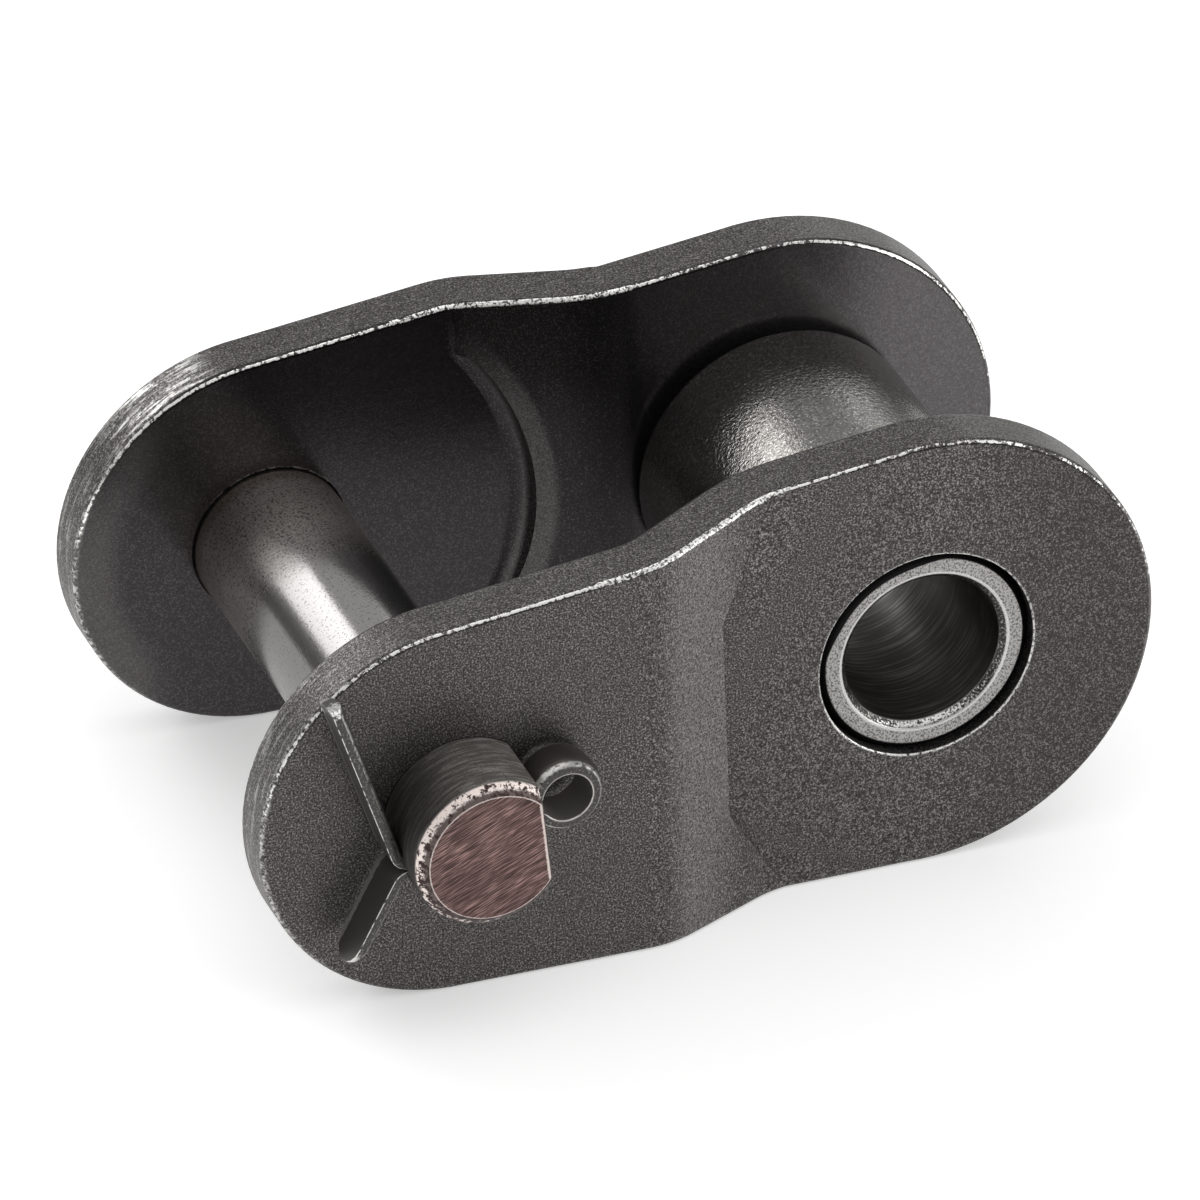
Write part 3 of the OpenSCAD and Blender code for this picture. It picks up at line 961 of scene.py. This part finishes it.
@dataclass
class Pin:
    """The flatted pin, pressed into the far plate."""

    corner: float = 0.14
    chamfer: float = 0.55

    def dress(self) -> bpy.types.Object:
        """Builds the pin with eased corners and gives it its ground finish."""
        piece = Piece("flatted_pin", "pin")
        low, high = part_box("pin")
        ends = (low.y + 2 * self.chamfer * MM, high.y - 2 * self.chamfer * MM)

        def at_end(edge: bmesh.types.BMEdge) -> bool:
            """Tells a sharp edge at either end of the pin."""
            middle = (edge.verts[0].co.y + edge.verts[1].co.y) / 2
            return edge.calc_face_angle() > math.radians(25) and not ends[0] < middle < ends[1]

        piece.round_edges(at_end, self.corner, 3)
        axis = Vector(mount("pin_journal")["pos_m"]) / MM
        plate_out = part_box("far_plate")[1].y / MM
        plate_in = mount("pin_journal")["dims"]["length_mm"] / 2
        face_r = mount("pin_journal")["dims"]["r_mm"] - self.chamfer
        sides = [f for f in piece.object.data.polygons if abs(f.normal.y) < 0.1]
        flat = max(sides, key=lambda f: f.area)
        look = GroundPin(
            axis_x=axis.x,
            axis_z=axis.z,
            plate_out=plate_out,
            plate_in=plate_in,
            face_y=low.y / MM,
            face_r=face_r,
            chamfer=self.chamfer,
            flat=flat.normal.copy(),
            flat_away=(flat.center / MM - axis).dot(flat.normal),
        )
        return piece.finish(look.material(), "pin")


@dataclass
class Cotter:
    """The split cotter through the pin."""

    corner: float = 0.06
    eye_reach: float = 4.59
    eye_rise: float = math.radians(16.84)
    eye_r: float = 1.27

    def dress(self) -> bpy.types.Object:
        """Builds the cotter with eased wire edges and gives it its drawn finish."""
        piece = Piece("split_cotter", "cotter")
        piece.round_edges(lambda e: e.calc_face_angle() > math.radians(60), self.corner, 2)
        axis = Vector(mount("pin_journal")["pos_m"]) / MM
        eye_x = axis.x + self.eye_reach * math.cos(self.eye_rise)
        eye_z = axis.z + self.eye_reach * math.sin(self.eye_rise)
        lean = DrawnWire.lean
        tip = max(v.co.x * lean[0] + v.co.z * lean[1] for v in piece.object.data.vertices) / MM
        look = DrawnWire(eye_x, eye_z, self.eye_r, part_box("cotter")[1].y / MM, tip)
        return piece.finish(look.material(), "cotter", 50.0)


@dataclass
class Roller:
    """The loose roller on the bush."""

    def dress(self) -> bpy.types.Object:
        """Gives the CAD roller its satin finish."""
        node = frame["nodes"]["roller"]
        node.material_slots[0].material = SatinRoller().material()
        return node


@dataclass(frozen=True)
class Softbox:
    """A soft lamp: where it hangs from the link, its size and its brightness."""

    name: str
    direction: RGB
    distance: float
    width: float
    height: float
    brightness: float

    def hang(self, middle: Vector) -> bpy.types.Object:
        """Hangs the lamp and turns it to the link.

        Args:
            middle: Middle of the link.

        Returns:
            The lamp.
        """
        away = Vector(self.direction).normalized()
        bpy.ops.object.light_add(type="AREA", location=middle + away * self.distance)
        lamp = bpy.context.object
        lamp.name = self.name
        lamp.rotation_euler = away.to_track_quat("Z", "Y").to_euler()
        lamp.data.shape = "RECTANGLE"
        lamp.data.size = self.width
        lamp.data.size_y = self.height
        lamp.data.energy = self.brightness * math.pi * self.width * self.height
        return lamp


@dataclass
class Studio:
    """Plain white floor, soft lamps and the surrounding light."""

    floor_span: float = 6.0
    floor_white: RGB = (0.92, 0.92, 0.92)
    glow: float = 0.36
    upper_light: float = 0.72
    horizon_light: float = 0.3
    rise: tuple[float, float] = (0.1, 0.4)
    lamps: tuple[Softbox, ...] = (
        Softbox("back_softbox", (-0.42, 0.78, 0.5), 0.55, 0.32, 0.22, 3.5),
        Softbox("back_right_softbox", (0.55, 0.7, 0.46), 0.6, 0.2, 0.2, 0.7),
        Softbox("right_softbox", (0.9, -0.42, 0.22), 0.6, 0.45, 0.28, 2.3),
        Softbox("top_softbox", (0.1, -0.2, 1.0), 0.8, 0.6, 0.6, 0.6),
    )

    def lay_floor(self) -> None:
        """Lays the floor under the link."""
        bpy.ops.object.select_all(action="DESELECT")
        bpy.ops.mesh.primitive_plane_add(size=self.floor_span, location=(0, 0, CAD_BOX[0].z))
        floor = bpy.context.object
        floor.name = "floor"
        g = Graph("floor_white")
        ray = g.tree.nodes.new("ShaderNodeLightPath")
        kinds = ("Is Camera Ray", "Is Glossy Ray", "Is Transmission Ray")
        straight, glossy, through = (Signal(g, ray.outputs[kind]) for kind in kinds)
        seen = g.larger(straight, g.larger(glossy, through))
        floor.data.materials.append(
            g.surface(
                base_color=self.floor_white,
                roughness=0.9,
                specular_ior_level=0.0,
                emission_color=(1.0, 1.0, 1.0),
                emission_strength=seen * self.glow,
            )
        )

    def light(self) -> None:
        """Hangs the lamps and sets the light all round."""
        middle = (CAD_BOX[0] + CAD_BOX[1]) / 2
        for lamp in self.lamps:
            lamp.hang(middle)
        world = bpy.data.worlds.new("studio")
        bpy.context.scene.world = world
        world.use_nodes = True
        tree = world.node_tree
        back = tree.nodes["Background"]
        where = tree.nodes.new("ShaderNodeTexCoord")
        split = tree.nodes.new("ShaderNodeSeparateXYZ")
        rise = tree.nodes.new("ShaderNodeMapRange")
        rise.interpolation_type = "SMOOTHSTEP"
        rise.inputs["From Min"].default_value = self.rise[0]
        rise.inputs["From Max"].default_value = self.rise[1]
        rise.inputs["To Min"].default_value = self.horizon_light
        rise.inputs["To Max"].default_value = self.upper_light
        tree.links.new(where.outputs["Generated"], split.inputs[0])
        tree.links.new(split.outputs["Z"], rise.inputs["Value"])
        tree.links.new(rise.outputs[0], back.inputs["Strength"])
        back.inputs["Color"].default_value = (1.0, 1.0, 1.0, 1.0)


@dataclass
class Viewpoint:
    """The camera, at the photograph's angle and framing."""

    azimuth: float = math.radians(-22.559)
    elevation: float = math.radians(31.742)
    roll: float = math.radians(1.765)
    distance: float = 0.71873
    target: RGB = (-0.012506, 0.0, -0.001013)
    lens: float = 441.37
    sensor: float = 36.0

    def set_up(self) -> None:
        """Adds the camera and makes it the scene's own."""
        level = math.cos(self.elevation)
        turn = (math.cos(self.azimuth), math.sin(self.azimuth))
        back = Vector((turn[1] * level, -turn[0] * level, math.sin(self.elevation)))
        flat = Vector((*turn, 0.0))
        upright = back.cross(flat)
        right = flat * math.cos(self.roll) + upright * math.sin(self.roll)
        up = upright * math.cos(self.roll) - flat * math.sin(self.roll)
        bpy.ops.object.camera_add()
        camera = bpy.context.object
        camera.name = "photo_camera"
        spot = Vector(self.target) + back * self.distance
        facing = Matrix((right, up, back)).transposed().to_4x4()
        camera.matrix_world = Matrix.Translation(spot) @ facing
        camera.data.lens = self.lens
        camera.data.sensor_width = self.sensor
        camera.data.clip_start = 0.01
        camera.data.clip_end = 20.0
        bpy.context.scene.camera = camera


def main() -> None:
    """Builds the link's pieces in order, then the studio and the camera."""
    logging.basicConfig(level=logging.INFO, format="%(name)s: %(message)s")
    bpy.context.scene.view_settings.view_transform = "Standard"
    for part in (SidePlate(Side.NEAR), SidePlate(Side.FAR), Bush(), Roller(), Pin(), Cotter()):
        made = part.dress()
        LOG.info("%s: %d faces", made.name, len(made.data.polygons))
    studio = Studio()
    studio.lay_floor()
    studio.light()
    Viewpoint().set_up()


if __name__ == "__main__":
    main()
